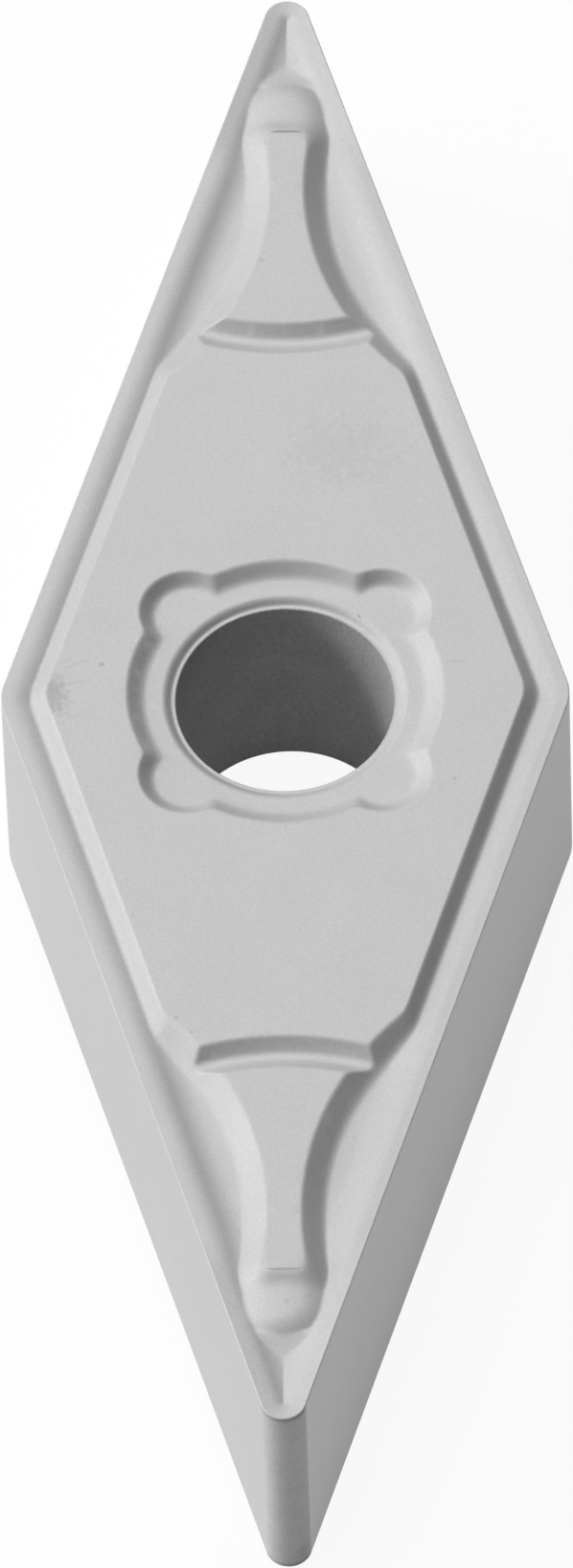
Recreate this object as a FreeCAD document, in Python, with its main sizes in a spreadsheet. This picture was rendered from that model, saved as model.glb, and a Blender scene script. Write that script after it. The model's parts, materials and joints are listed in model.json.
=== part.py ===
import FreeCAD, Part
import math
import os
import Sketcher

# Carbide turning insert, 35 degree rhombus, double sided, one sintered and ground piece.
# The sketches hold one eighth of it, above the mid-plane and between the two diagonals.
# Three mirror steps then make the other noses and the underside.
# Lengths are millimetres. X is the short diagonal, Y the long one, Z the hole axis.

SIZES = {
    "incircle": 9.525,           # diameter of the inscribed circle
    "corner_angle": 35.0,        # angle of the two noses
    "nose_radius": 0.4,
    "blunt_radius": 0.9,         # radius of the two obtuse corners
    "edge_height": 4.76,         # from the upper cutting edge to the lower one
    "land_rise": 0.14,           # ground lands above the cutting edge
    "wall_slope": 37.0,          # slope of every moulded wall
    "hone_radius": 0.025,        # rounding of the cutting edge
    "rim_width": 0.15,           # flat strip behind the cutting edge
    "rake_slope": 20.8,          # steepest slope of the rake
    "crest_radius": 1.04,        # convex part of the rake
    "trough_radius": 0.96,       # concave part of the rake
    "land_inset": 0.765,         # land edge to cutting edge, along the flanks
    "land_blunt_radius": 0.8,
    "shoulder_radius": 0.3,      # where the land leaves the flank for the tongue
    "tongue_arc_radius": 5.5,    # hollow side of the tongue
    "waist_width": 0.62,         # narrowest part of the tongue
    "waist_to_tip": 4.15,
    "tongue_to_tip": 2.93,
    "tongue_corner_radius": 0.16,
    "groove_axis_to_tip": 2.53,  # axis of the arc groove between land and tongue
    "groove_arc_radius": 4.88,
    "groove_depth": 0.186,
    "groove_bottom_radius": 0.22,
    "bump_rise": 0.03,           # crown of the bump above the cutting edge
    "bump_crown_radius": 3.3,
    "bump_width": 1.28,
    "bump_to_tip": 2.0,
    "bump_length": 1.15,
    "bump_corner_radius": 0.4,
    "toe_to_tip": 1.81,          # foot of the bump's end wall
    "toe_drop": 0.108,           # that foot below the cutting edge
    "toe_slope": 2.5,
    "toe_length": 0.5,
    "dish_radius": 2.75,         # recess round the hole, at the land
    "dish_depth": 0.2,
    "lobe_offset": 1.7,          # lobe centres, along X and along Y
    "lobe_radius": 0.84,
    "step_radius": 2.12,
    "step_width": 0.13,
    "step_depth": 0.17,
    "bore_radius": 1.905,
}

doc = FreeCAD.newDocument("carbide_insert")
sheet = doc.addObject("Spreadsheet::Sheet", "Sizes")
for row, (alias, number) in enumerate(SIZES.items(), start=1):
    sheet.set(f"A{row}", alias)
    sheet.set(f"B{row}", str(number))
    sheet.setAlias(f"B{row}", alias)
doc.recompute()

# Formulas shared by several features, written for the sheet's cells.
HALF = "Sizes.corner_angle / 2"
INNER = "Sizes.incircle / 2"
EDGE = "Sizes.edge_height / 2"
NOSE_AXIS = f"({INNER} - Sizes.nose_radius) / sin({HALF})"
BLUNT_AXIS = f"({INNER} - Sizes.blunt_radius) / cos({HALF})"
TIP = f"({NOSE_AXIS} + Sizes.nose_radius)"
LAND = f"({EDGE} + Sizes.land_rise)"
TAPER = "90 - Sizes.wall_slope"
RUN = "tan(Sizes.wall_slope)"
SUNK = "2 * Sizes.land_rise"     # how far the raised forms reach below the cutting edge

# Geometry numbers of a sketch's level and upright axes, and point numbers of a side's two ends.
LEVEL_AXIS, UPRIGHT_AXIS = -1, -2
START, STOP = 1, 2


def value(formula):
    """Number that a formula of the sheet gives."""
    return float(sheet.evalExpression(formula))


def make_sketch(body, name, role, shift=None, turn=None):
    """Sketch on an origin plane of the body, shifted by formulas and turned about its own Y axis."""
    sketch = body.newObject("Sketcher::SketchObject", name)
    plane = next(item for item in body.Origin.OriginFeatures if item.Role == role)
    sketch.AttachmentSupport = (plane, [""])
    sketch.MapMode = "FlatFace"
    if turn:
        swing = FreeCAD.Rotation(FreeCAD.Vector(0, 1, 0), value(turn))
        sketch.AttachmentOffset = FreeCAD.Placement(FreeCAD.Vector(), swing)
        sketch.setExpression("AttachmentOffset.Rotation.Angle", turn)
    for axis, formula in (shift or {}).items():
        sketch.setExpression(f"AttachmentOffset.Base.{axis}", formula)
    return sketch


def pin(sketch, side, end, corner):
    """Hold one end of a side at the two formulas of a corner."""
    rules = (("DistanceX", UPRIGHT_AXIS, corner[0]), ("DistanceY", LEVEL_AXIS, corner[1]))
    for kind, axis, formula in rules:
        if formula == "0":
            sketch.addConstraint(Sketcher.Constraint("PointOnObject", side, end, axis))
        else:
            rule = Sketcher.Constraint(kind, LEVEL_AXIS, START, side, end, value(formula))
            sketch.setExpression(f"Constraints[{sketch.addConstraint(rule)}]", formula)


def draw(sketch, corners, arcs=None):
    """Close an outline through its corners; arcs gives centre and radius of a side, by its first corner."""
    arcs = arcs or {}
    places = [FreeCAD.Vector(value(x), value(y), 0) for x, y in corners]
    ends = []
    for side, start in enumerate(places):
        stop = places[(side + 1) % len(places)]
        if side not in arcs:
            sketch.addGeometry(Part.LineSegment(start, stop), False)
            ends.append((START, STOP))
            continue
        middle_x, middle_y, radius = arcs[side]
        middle = FreeCAD.Vector(value(middle_x), value(middle_y), 0)
        first = math.atan2(start.y - middle.y, start.x - middle.x)
        last = math.atan2(stop.y - middle.y, stop.x - middle.x)
        forwards = (last - first) % (2 * math.pi) < math.pi
        ends.append((START, STOP) if forwards else (STOP, START))
        if not forwards:
            first, last = last, first
        circle = Part.Circle(middle, FreeCAD.Vector(0, 0, 1), value(radius))
        sketch.addGeometry(Part.ArcOfCircle(circle, first, last), False)
    for side, corner in enumerate(corners):
        before = side - 1 if side else len(corners) - 1
        begins = ends[side][0]
        sketch.addConstraint(Sketcher.Constraint("Coincident", before, ends[before][1], side, begins))
        pin(sketch, side, begins, corner)
    for side, (_, _, radius) in arcs.items():
        rule = Sketcher.Constraint("Radius", side, value(radius))
        sketch.setExpression(f"Constraints[{sketch.addConstraint(rule)}]", radius)


def draw_rim(sketch, outside):
    """Section from the mid-plane up to the cutting edge, then along the rake and the trough to the axis."""
    crest_x = f"({outside} - Sizes.rim_width)"
    crest_y = f"({EDGE} - Sizes.crest_radius)"
    bend_x = f"({crest_x} - Sizes.crest_radius * sin(Sizes.rake_slope))"
    bend_y = f"({crest_y} + Sizes.crest_radius * cos(Sizes.rake_slope))"
    trough_x = f"({bend_x} - Sizes.trough_radius * sin(Sizes.rake_slope))"
    trough_y = f"({bend_y} + Sizes.trough_radius * cos(Sizes.rake_slope))"
    corners = [
        ("0", "0"),
        (outside, "0"),
        (outside, f"{EDGE} - Sizes.hone_radius"),
        (f"{outside} - Sizes.hone_radius", EDGE),
        (crest_x, EDGE),
    ]
    arcs = {
        2: (f"{outside} - Sizes.hone_radius", f"{EDGE} - Sizes.hone_radius", "Sizes.hone_radius"),
        4: (crest_x, crest_y, "Sizes.crest_radius"),
    }
    if value(bend_x) <= 0:
        # A small corner radius ends the section on the crest.
        corners.append(("0", f"{crest_y} + sqrt(Sizes.crest_radius ^ 2 - {crest_x} ^ 2)"))
        draw(sketch, corners, arcs)
        return
    corners.append((bend_x, bend_y))
    arcs[5] = (trough_x, trough_y, "Sizes.trough_radius")
    if value(trough_x) <= 0:
        # A middling one ends it on the way down to the trough.
        corners.append(("0", f"{trough_y} - sqrt(Sizes.trough_radius ^ 2 - {trough_x} ^ 2)"))
        draw(sketch, corners, arcs)
        return
    corners.append((trough_x, f"{trough_y} - Sizes.trough_radius"))
    corners.append(("0", f"{trough_y} - Sizes.trough_radius"))
    draw(sketch, corners, arcs)


def sweep(body, kind, name, sketch, **settings):
    """Feature of a sketch; a setting that is text is a formula."""
    feature = body.newObject(kind, name)
    feature.Profile = sketch
    feature.Refine = True
    for key, setting in settings.items():
        if isinstance(setting, str) and key not in ("Type", "SideType"):
            feature.setExpression(key, setting)
        else:
            setattr(feature, key, setting)
    doc.recompute()
    print(f"{name}: {feature.Shape.Volume:.3f} mm3")
    return feature


body = doc.addObject("PartDesign::Body", "carbide_insert")
body.Label = "carbide_insert"

# Bump in front of the tongue. It comes first, because its crown is cut by a lying cylinder.
bump_x = "Sizes.bump_width / 2"
bump_y = f"({TIP} - Sizes.bump_to_tip)"
bump_back = f"{bump_y} - Sizes.bump_length"
bump_round = "Sizes.bump_corner_radius"
bump_plan = make_sketch(body, "bump_plan", "XY_Plane", {"z": f"{EDGE} + Sizes.bump_rise"})
draw(
    bump_plan,
    [
        ("0", bump_back),
        (f"{bump_x} - {bump_round}", bump_back),
        (bump_x, f"{bump_back} + {bump_round}"),
        (bump_x, f"{bump_y} - {bump_round}"),
        (f"{bump_x} - {bump_round}", bump_y),
        ("0", bump_y),
    ],
    {
        1: (f"{bump_x} - {bump_round}", f"{bump_back} + {bump_round}", bump_round),
        3: (f"{bump_x} - {bump_round}", f"{bump_y} - {bump_round}", bump_round),
    },
)
sweep(body, "PartDesign::Pad", "bump", bump_plan, Length=f"{SUNK} + Sizes.bump_rise",
      TaperAngle=TAPER, Reversed=True)

crown_top = f"{EDGE} + Sizes.bump_rise"
crown_axis = f"{crown_top} - Sizes.bump_crown_radius"
crown_section = make_sketch(body, "crown_section", "XZ_Plane")
draw(
    crown_section,
    [
        ("0", crown_top),
        ("Sizes.bump_width", f"{crown_axis} + sqrt(Sizes.bump_crown_radius ^ 2 - Sizes.bump_width ^ 2)"),
        ("Sizes.bump_width", f"{crown_top} + Sizes.bump_rise"),
        ("0", f"{crown_top} + Sizes.bump_rise"),
    ],
    {0: ("0", crown_axis, "Sizes.bump_crown_radius")},
)
sweep(body, "PartDesign::Pocket", "crown", crown_section, Type="ThroughAll", SideType="Symmetric")

# One flank with its rim, rake and trough, then the two rounded corners that end it.
flank_section = make_sketch(body, "flank_section", "XZ_Plane", turn=HALF)
draw_rim(flank_section, INNER)
sweep(body, "PartDesign::Pad", "flank", flank_section, SideType="Two sides",
      Length=f"({INNER} - Sizes.blunt_radius) * tan({HALF})",
      Length2=f"({INNER} - Sizes.nose_radius) / tan({HALF})")

nose_section = make_sketch(body, "nose_section", "YZ_Plane", {"x": NOSE_AXIS})
draw_rim(nose_section, "Sizes.nose_radius")
sweep(body, "PartDesign::Revolution", "nose", nose_section,
      ReferenceAxis=(nose_section, ["V_Axis"]), Angle=f"90 - {HALF}", Reversed=True)

blunt_section = make_sketch(body, "blunt_section", "XZ_Plane", {"x": BLUNT_AXIS})
draw_rim(blunt_section, "Sizes.blunt_radius")
sweep(body, "PartDesign::Revolution", "blunt", blunt_section,
      ReferenceAxis=(blunt_section, ["V_Axis"]), Angle=HALF)

# Sloping floor between the foot of the bump and the valley of the nose.
toe_y = f"({TIP} - Sizes.toe_to_tip)"
toe_z = f"({EDGE} - Sizes.toe_drop)"
toe_fall = "Sizes.toe_length * tan(Sizes.toe_slope)"
toe_section = make_sketch(body, "toe_section", "YZ_Plane")
draw(
    toe_section,
    [
        (f"{toe_y} - Sizes.toe_length", f"{EDGE} - {SUNK}"),
        (f"{toe_y} + Sizes.toe_length", f"{EDGE} - {SUNK}"),
        (f"{toe_y} + Sizes.toe_length", f"{toe_z} - {toe_fall}"),
        (f"{toe_y} - Sizes.toe_length", f"{toe_z} + {toe_fall}"),
    ],
)
sweep(body, "PartDesign::Pad", "toe", toe_section, Length=bump_round)

# Ground land and tongue in one outline, with moulded walls that spread downwards.
land_line = f"({INNER} - Sizes.land_inset)"
land_round = "Sizes.land_blunt_radius"
land_axis = f"({land_line} - {land_round}) / cos({HALF})"
arc_radius = "Sizes.tongue_arc_radius"
arc_x = f"(Sizes.waist_width / 2 + {arc_radius})"
arc_y = f"({TIP} - Sizes.waist_to_tip)"
shoulder = "Sizes.shoulder_radius"
shoulder_offset = f"({land_line} - {shoulder} - {arc_x} * cos({HALF}) - {arc_y} * sin({HALF}))"
shoulder_turn = f"({HALF} - acos({shoulder_offset} / ({arc_radius} + {shoulder})) / 1 deg)"
shoulder_x = f"({arc_x} + ({arc_radius} + {shoulder}) * cos({shoulder_turn}))"
shoulder_y = f"({arc_y} + ({arc_radius} + {shoulder}) * sin({shoulder_turn}))"
end_y = f"({TIP} - Sizes.tongue_to_tip)"
end_round = "Sizes.tongue_corner_radius"
corner_y = f"({end_y} - {end_round})"
corner_span = f"sqrt(({arc_radius} + {end_round}) ^ 2 - ({corner_y} - {arc_y}) ^ 2)"
corner_x = f"({arc_x} - {corner_span})"
corner_share = f"{arc_radius} / ({arc_radius} + {end_round})"
land_plan = make_sketch(body, "land_plan", "XY_Plane", {"z": LAND})
draw(
    land_plan,
    [
        ("0", "0"),
        (f"{land_axis} + {land_round}", "0"),
        (f"{land_axis} + {land_round} * cos({HALF})", f"{land_round} * sin({HALF})"),
        (f"{shoulder_x} + {shoulder} * cos({HALF})", f"{shoulder_y} + {shoulder} * sin({HALF})"),
        (f"{arc_x} + {arc_radius} * cos({shoulder_turn})", f"{arc_y} + {arc_radius} * sin({shoulder_turn})"),
        (f"{arc_x} - {corner_span} * {corner_share}", f"{arc_y} + ({corner_y} - {arc_y}) * {corner_share}"),
        (corner_x, end_y),
        ("0", end_y),
    ],
    {
        1: (land_axis, "0", land_round),
        3: (shoulder_x, shoulder_y, shoulder),
        4: (arc_x, arc_y, arc_radius),
        5: (corner_x, corner_y, end_round),
    },
)
sweep(body, "PartDesign::Pad", "land", land_plan, Length=f"{SUNK} + Sizes.land_rise",
      TaperAngle=TAPER, Reversed=True)

# Everything that the last features left across the two diagonals comes off.
beyond = "Sizes.incircle * 2"
quarter_plan = make_sketch(body, "quarter_plan", "XY_Plane")
draw(
    quarter_plan,
    [
        ("0", "0"),
        ("0", beyond),
        (f"-{beyond}", beyond),
        (f"-{beyond}", f"-{beyond}"),
        (beyond, f"-{beyond}"),
        (beyond, "0"),
    ],
)
sweep(body, "PartDesign::Pocket", "quarter", quarter_plan, Type="ThroughAll", SideType="Symmetric")

# Arc groove between land and tongue: two sloping walls and a rounded bottom, run out in the trough.
groove_bottom = f"({LAND} - Sizes.groove_depth)"
groove_round = "Sizes.groove_bottom_radius"
groove_axis_y = f"({TIP} - Sizes.groove_axis_to_tip)"
groove_flat = f"{groove_round} * sin(Sizes.wall_slope)"
groove_lift = f"{groove_round} * (1 - cos(Sizes.wall_slope))"
groove_wide = f"{groove_flat} + (Sizes.groove_depth + Sizes.land_rise - {groove_lift}) / {RUN}"
groove_section = make_sketch(body, "groove_section", "YZ_Plane", {"x": groove_axis_y})
draw(
    groove_section,
    [
        (f"-Sizes.groove_arc_radius - {groove_flat}", f"{groove_bottom} + {groove_lift}"),
        (f"-Sizes.groove_arc_radius + {groove_flat}", f"{groove_bottom} + {groove_lift}"),
        (f"-Sizes.groove_arc_radius + ({groove_wide})", f"{LAND} + Sizes.land_rise"),
        (f"-Sizes.groove_arc_radius - ({groove_wide})", f"{LAND} + Sizes.land_rise"),
    ],
    {0: ("-Sizes.groove_arc_radius", f"{groove_bottom} + {groove_round}", groove_round)},
)
run_down = "(Sizes.crest_radius + Sizes.trough_radius / 2) * sin(Sizes.rake_slope)"
run_out = f"({INNER} - Sizes.rim_width - {run_down})"
sweep(body, "PartDesign::Groove", "groove", groove_section,
      ReferenceAxis=(groove_section, ["V_Axis"]),
      Angle=f"{HALF} + asin(({run_out} - {groove_axis_y} * sin({HALF})) / Sizes.groove_arc_radius) / 1 deg")

# Recess round the hole: a dish, a step with a narrow seat, and the bore, in one turned section.
dish_floor = f"({LAND} - Sizes.dish_depth)"
seat = f"({dish_floor} - Sizes.step_depth)"
dish_section = make_sketch(body, "dish_section", "XZ_Plane")
draw(
    dish_section,
    [
        ("0", "0"),
        ("Sizes.bore_radius", "0"),
        ("Sizes.bore_radius", seat),
        ("Sizes.step_radius - Sizes.step_width", seat),
        ("Sizes.step_radius", dish_floor),
        (f"Sizes.dish_radius - Sizes.dish_depth / {RUN}", dish_floor),
        (f"Sizes.dish_radius + Sizes.dish_depth / {RUN}", f"{LAND} + Sizes.dish_depth"),
        ("0", f"{LAND} + Sizes.dish_depth"),
    ],
)
sweep(body, "PartDesign::Groove", "dish", dish_section,
      ReferenceAxis=(dish_section, ["V_Axis"]), Angle=360)

lobe_centre = {"x": "Sizes.lobe_offset", "z": "-Sizes.lobe_offset"}
lobe_section = make_sketch(body, "lobe_section", "XZ_Plane", lobe_centre)
draw(
    lobe_section,
    [
        ("0", dish_floor),
        (f"Sizes.lobe_radius - Sizes.dish_depth / {RUN}", dish_floor),
        (f"Sizes.lobe_radius + Sizes.dish_depth / {RUN}", f"{LAND} + Sizes.dish_depth"),
        ("0", f"{LAND} + Sizes.dish_depth"),
    ],
)
sweep(body, "PartDesign::Groove", "lobe", lobe_section,
      ReferenceAxis=(lobe_section, ["V_Axis"]), Angle=360)

# The other diagonals and the underside.
for name, role in (("across_x", "YZ_Plane"), ("across_y", "XZ_Plane"), ("underside", "XY_Plane")):
    mirror = body.newObject("PartDesign::Mirrored", name)
    mirror.TransformMode = "Whole shape"
    mirror.MirrorPlane = (next(item for item in body.Origin.OriginFeatures if item.Role == role), [""])
    mirror.Refine = True
    body.Tip = mirror
    doc.recompute()
    print(f"{name}: {mirror.Shape.Volume:.3f} mm3")

# The lower lands stand on Z = 0.
body.setExpression("Placement.Base.z", LAND)
doc.recompute()
for item in doc.Objects:
    if "Invalid" in item.State or "Error" in item.State:
        raise RuntimeError(f"{item.Name} failed: {item.State}")
if body.Shape.isNull() or not body.Shape.isValid() or len(body.Shape.Solids) != 1:
    raise RuntimeError(f"{body.Label} is not one valid solid")

os.makedirs("parts", exist_ok=True)
body.Shape.exportStep(f"parts/{body.Label}.step")
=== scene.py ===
# %% [markdown]
# # A carbide insert, from its construction to its looks
# A turning insert is one small piece of cemented carbide, pressed as a powder, sintered and then ground
# on its broad faces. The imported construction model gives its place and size. This lesson dresses it:
# a finely meshed copy of the same forms, a finish for each kind of surface, and a plain studio.

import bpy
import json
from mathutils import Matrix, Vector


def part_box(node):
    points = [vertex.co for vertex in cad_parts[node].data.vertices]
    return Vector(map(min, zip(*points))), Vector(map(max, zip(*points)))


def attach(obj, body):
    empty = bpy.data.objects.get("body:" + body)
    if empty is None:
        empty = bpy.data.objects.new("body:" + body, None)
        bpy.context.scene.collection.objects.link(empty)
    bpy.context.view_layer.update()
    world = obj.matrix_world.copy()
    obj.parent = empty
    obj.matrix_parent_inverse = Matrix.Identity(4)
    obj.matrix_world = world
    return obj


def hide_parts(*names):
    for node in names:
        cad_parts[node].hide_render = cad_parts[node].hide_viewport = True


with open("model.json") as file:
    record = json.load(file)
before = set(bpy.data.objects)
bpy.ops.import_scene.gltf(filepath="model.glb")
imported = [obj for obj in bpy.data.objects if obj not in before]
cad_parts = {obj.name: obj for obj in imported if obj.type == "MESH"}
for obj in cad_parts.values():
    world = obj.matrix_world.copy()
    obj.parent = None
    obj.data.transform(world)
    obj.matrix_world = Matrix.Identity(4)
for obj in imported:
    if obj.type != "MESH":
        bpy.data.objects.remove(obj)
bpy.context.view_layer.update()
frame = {"record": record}

# %% [markdown]
# ## Modules
# bpy is Blender's own data: meshes, materials and lamps. mathutils has its vectors and a
# triangulation. numpy works on whole arrays of places at once, so no loop runs over single vertices.

# %% Modules
import json
import math

import bpy
import mathutils
import numpy as np

print("Blender", bpy.app.version_string, "with numpy", np.__version__)

# %% [markdown]
# ## Driving sizes
# The construction model has coarse facets, which is right for a check and wrong for a close view.
# The insert is therefore worked out once more as a height above a plane. The length, the height and
# the bore come from the frame. The other sizes are written here, in millimetres. Some were refined
# after the construction, so this surface lies up to 0.08 mm off it, always inside its box. Every
# shape below is a formula in them.

# %% Sizes in millimetres
MM = 0.001
low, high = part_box("carbide_insert")
bore_mount = next(mount for mount in frame["record"]["mounts"] if mount["name"] == "bore")
overall_height = high.z / MM
tip_y = high.y / MM
bore_radius = bore_mount["dims"]["r_mm"]

half_angle = math.radians(35) / 2  # the long edges lean this far from the long diagonal
wall_slope = math.radians(37)  # every moulded wall, unless it is eased
nose_radius = 0.4
blunt_radius = 0.9
land_rise = 0.14  # ground faces above the cutting edge
hone_radius = 0.025
rim_width = 0.15  # flat strip behind the cutting edge
rake_slope = math.radians(23)
crest_radius = 0.8
trough_radius = 1.05

edge_height = overall_height / 2 - land_rise  # cutting edge above the mid-plane
nose_axis = tip_y - nose_radius
inner = nose_axis * math.sin(half_angle) + nose_radius  # radius of the inscribed circle
blunt_axis = (inner - blunt_radius) / math.cos(half_angle)
print("inscribed circle", round(2 * inner, 3), "mm, overall height", round(overall_height, 3), "mm")

# %% [markdown]
# ## Soft joins
# Moulded forms never meet in a knife line: the press tool leaves a small hollow where a wall stands on
# a floor, and a small round where two walls part. Two heights are joined with a smooth maximum or a
# smooth minimum, and the join's width says how close they must be to feel each other. The ground faces
# come last. The wheel cuts them off flat after sintering, so their join is narrow and their outline
# stays nearly crisp.

# %% Smooth maximum and minimum


def join_max(a, b, width):
    """Larger of two heights; where they differ by less than width, a parabola joins them."""
    overlap = np.maximum(width - np.abs(a - b), 0)
    return np.maximum(a, b) + overlap**2 / (4 * width)


def join_min(a, b, width):
    """Smaller of two heights, joined in the same way."""
    return -join_max(-a, -b, width)


print("a join of 0.1 mm lifts the crossing of two heights by", round(join_max(0.0, 0.0, 0.1), 3), "mm")

# %% [markdown]
# ## Distance from the cutting edge
# The insert repeats itself across both diagonals, so x and y are always taken as positive here, and
# one quarter of a face is worked out. The quarter's edge is a straight flank between two rounded
# corners. A place is measured along the flank first, which says whether the flank or one of the two
# corner circles is nearest.

# %% Distance inwards from the edge


def across_flank(x, y):
    """Distance from the middle, measured along the flank's outward normal."""
    return x * math.cos(half_angle) + y * math.sin(half_angle)


def edge_distance(x, y):
    """Distance inwards from the cutting edge: from the straight flank or from a corner circle."""
    along = y * math.cos(half_angle) - x * math.sin(half_angle)
    nose = nose_radius - np.hypot(x, y - nose_axis)
    blunt = blunt_radius - np.hypot(x - blunt_axis, y)
    flank = inner - across_flank(x, y)
    beyond_nose = along > (inner - nose_radius) / math.tan(half_angle)
    beyond_blunt = along < -(inner - blunt_radius) * math.tan(half_angle)
    return np.where(beyond_nose, nose, np.where(beyond_blunt, blunt, flank))


print("the middle lies", round(float(edge_distance(0.0, 0.0)), 3), "mm inside the edge")

# %% [markdown]
# ## Rim, rake and trough
# Behind the edge lies a narrow flat strip that makes the edge strong. Then the rake falls away on a
# convex arc, turns into a concave one and ends in the trough that curls the chip. The two arcs share
# their tangent, which is the steepest slope of the rake. Beside the nose the strip leans inwards, so
# there the profile starts with the arc's tangent line instead.

# %% Height of the rim
crest_run = crest_radius * math.sin(rake_slope)
trough_run = trough_radius * math.sin(rake_slope)
trough_depth = (crest_radius + trough_radius) * (1 - math.cos(rake_slope))
nose_tilt = math.radians(8.8)  # beside the nose the strip leans inwards by this much
nose_shift = 0.083  # and the rake begins this much earlier
tilt_start, tilt_end = tip_y - 3.9, tip_y - 2.8


def rim_height(distance, y):
    """Flat strip, convex arc, concave arc and trough; a strip that leans is the arc's tangent line."""
    share = np.clip((y - tilt_start) / (tilt_end - tilt_start), 0, 1)
    share = share**2 * (3 - 2 * share)
    distance = np.maximum(distance, hone_radius)
    past_strip = distance - rim_width + nose_shift * share
    on_crest = np.clip(past_strip, 0, crest_run)
    crest = np.sqrt(crest_radius**2 - on_crest**2) - crest_radius
    on_trough = np.clip(crest_run + trough_run - past_strip, 0, trough_run)
    trough = trough_radius - trough_depth - np.sqrt(trough_radius**2 - on_trough**2)
    level = np.where(past_strip < crest_run, crest, trough)
    tilt = nose_tilt * share
    touch = crest_radius * np.sin(tilt)
    leaning = crest_radius * (np.cos(tilt) - 1) + (touch - past_strip) * np.tan(tilt)
    at_edge = leaning + (distance - hone_radius) * np.tan(tilt)
    return np.where(past_strip < touch, leaning, level) - at_edge


trough_inset = rim_width + crest_run + trough_run
print("the trough lies", round(trough_depth, 3), "mm deep,", round(trough_inset, 3), "mm inside the edge")

# %% [markdown]
# ## Land and tongue
# The ground land fills the middle. Near each nose it turns off the flank over a rounded shoulder and
# follows one long hollow arc, which becomes the waisted tongue. The land's outline is a set of lines
# and circles, so the distance outside it needs no search: the direction tells which of them counts.
# Some walls are steeper or gentler than the rest, and their distance is stretched or shortened for it.

# %% Distance outside the land
land_inset = 0.755
steeper = 0.38  # the walls along the flanks rise this much faster
land_blunt_radius = 0.8
shoulder_radius = 0.6
tongue_arc_radius = 5.5
tongue_corner_radius = 0.16
corner_join = 0.24  # rounds the tongue's corners, wall and foot alike
waist_join = 0.12  # rounds the foot where the tongue comes near the flank
end_ease = 0.45  # the tongue's end wall is this much gentler than its sides
waist_width = 0.62
waist_y = tip_y - 4.15
tongue_end_y = tip_y - 2.93

land_line = inner - land_inset
land_blunt_axis = (land_line - land_blunt_radius) / math.cos(half_angle)
arc_x = waist_width / 2 + tongue_arc_radius
axes_apart = tongue_arc_radius + shoulder_radius
shoulder_share = (land_line - shoulder_radius - across_flank(arc_x, waist_y)) / axes_apart
shoulder_turn = half_angle - math.acos(shoulder_share)
shoulder_x = arc_x + axes_apart * math.cos(shoulder_turn)
shoulder_y = waist_y + axes_apart * math.sin(shoulder_turn)
corner_y = tongue_end_y - tongue_corner_radius
corner_x = arc_x - math.sqrt((tongue_arc_radius + tongue_corner_radius) ** 2 - (corner_y - waist_y) ** 2)
corner_turn = math.atan2(waist_y - corner_y, arc_x - corner_x)


def tongue_sides(x, y):
    """Distance outside the flank line and the hollow arc, and the eased one past the tongue's end."""
    line = across_flank(x, y) - land_line
    hollow = tongue_arc_radius - np.hypot(x - arc_x, y - waist_y)
    beside_land = np.maximum(line * (1 + steeper), hollow)
    beside_tongue = join_max(line, hollow, waist_join)
    return np.where(y < waist_y, beside_land, beside_tongue), (y - tongue_end_y) * (1 - end_ease)


def land_distance(x, y):
    """Distance outside the land and tongue, below zero on them: lines and arcs, picked by direction."""
    plain = join_max(*tongue_sides(x, y), corner_join)
    blunt = (np.hypot(x - land_blunt_axis, y) - land_blunt_radius) * (1 + steeper)
    blunt_way = np.arctan2(y, x - land_blunt_axis)
    shoulder_way = np.arctan2(y - shoulder_y, x - shoulder_x)
    near_blunt = np.abs(blunt_way) < half_angle
    near_shoulder = (shoulder_way > half_angle) & (shoulder_way < shoulder_turn + math.pi)
    turned = (shoulder_way - half_angle) / (shoulder_turn + math.pi - half_angle)
    shoulder = np.hypot(x - shoulder_x, y - shoulder_y) - shoulder_radius
    shoulder = shoulder * (1 + steeper * (1 - turned))
    return np.select([near_blunt, near_shoulder], [blunt, shoulder], plain)


print("the shoulder's arc is centred at", round(shoulder_x, 3), round(shoulder_y, 3), "mm")

# %% [markdown]
# ## Groove, bump and toe
# An arc groove parts the tongue from the land. In front of the tongue lies a low bump, crowned like a
# thumb nail, and its end wall runs out in a sloping toe, down into the valley of the nose. Each form
# is a height of its own, and the joins between them come later.

# %% Heights of groove, bump and toe
groove_axis_y = tip_y - 2.53
groove_arc_radius = 4.88
groove_depth = 0.186
groove_bottom_radius = 0.22
bump_rise = 0.045
bump_crown_radius = 3.0
bump_crown_reach = 2.0  # the crown's formula is only asked for within this x
bump_width = 0.9
bump_y = tip_y - 2.0
bump_length = 1.25
bump_corner_radius = 0.42
bump_ease = 0.33  # the bump's walls are this much gentler than the others
bump_edge_join = 0.09  # between crown and wall
toe_y = tip_y - 1.82  # the toe is highest on this line
toe_drop = 0.062
toe_slope = math.radians(12.5)
toe_back_slope = math.radians(17)  # behind that line it falls back under the bump
toe_ridge_join = 0.04


def groove_height(x, y):
    """Two sloping walls about a circle in plan, with a round bottom."""
    off = np.abs(np.hypot(x, y - groove_axis_y) - groove_arc_radius)
    on_round = np.minimum(off, groove_bottom_radius * math.sin(wall_slope))
    bottom = groove_bottom_radius - np.sqrt(groove_bottom_radius**2 - on_round**2)
    return land_rise - groove_depth + bottom + (off - on_round) * math.tan(wall_slope)


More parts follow.
